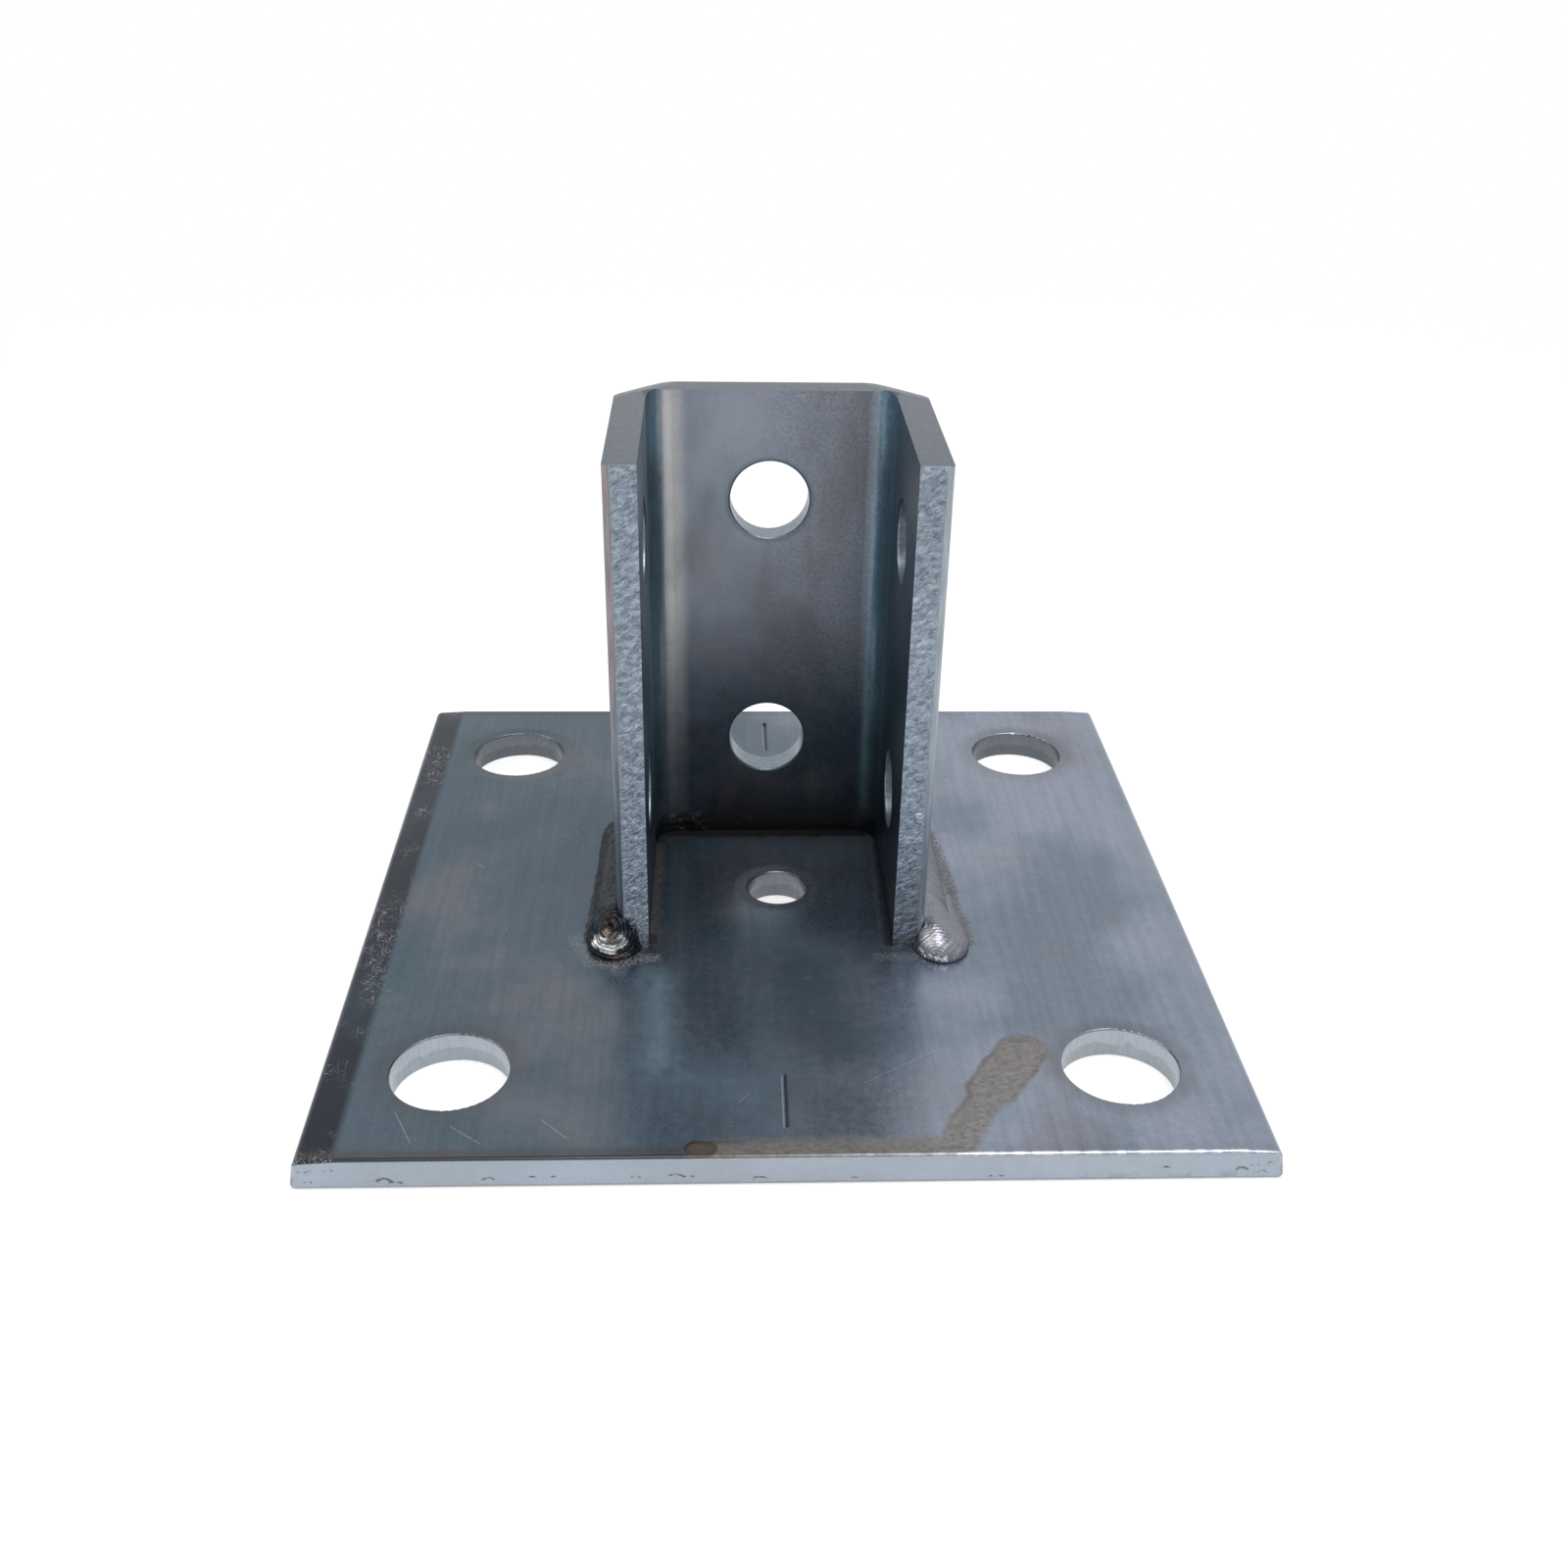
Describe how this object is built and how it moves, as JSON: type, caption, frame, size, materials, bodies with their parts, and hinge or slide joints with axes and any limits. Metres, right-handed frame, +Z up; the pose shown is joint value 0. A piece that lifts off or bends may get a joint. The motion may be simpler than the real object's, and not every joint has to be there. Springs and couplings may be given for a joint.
{
  "type": "strut post base",
  "caption": "Square steel base plate with corner anchor holes and a folded open channel welded upright on it, drilled to bolt a length of strut.",
  "frame": {"origin": "middle of the base plate's underside", "axes": "+Z up along the post, the channel opens towards -Y, +X to the right seen from its open side"},
  "size_m": [0.1506, 0.15, 0.095],
  "materials": {
    "plated_steel": "satin zinc plating",
    "weld_metal": "rippled weld metal, plated over"
  },
  "bodies": {
    "root": {"base_plate": "plated_steel", "post_channel": "plated_steel", "left_weld_bead": "weld_metal", "right_weld_bead": "weld_metal"}
  },
  "joints": []
}
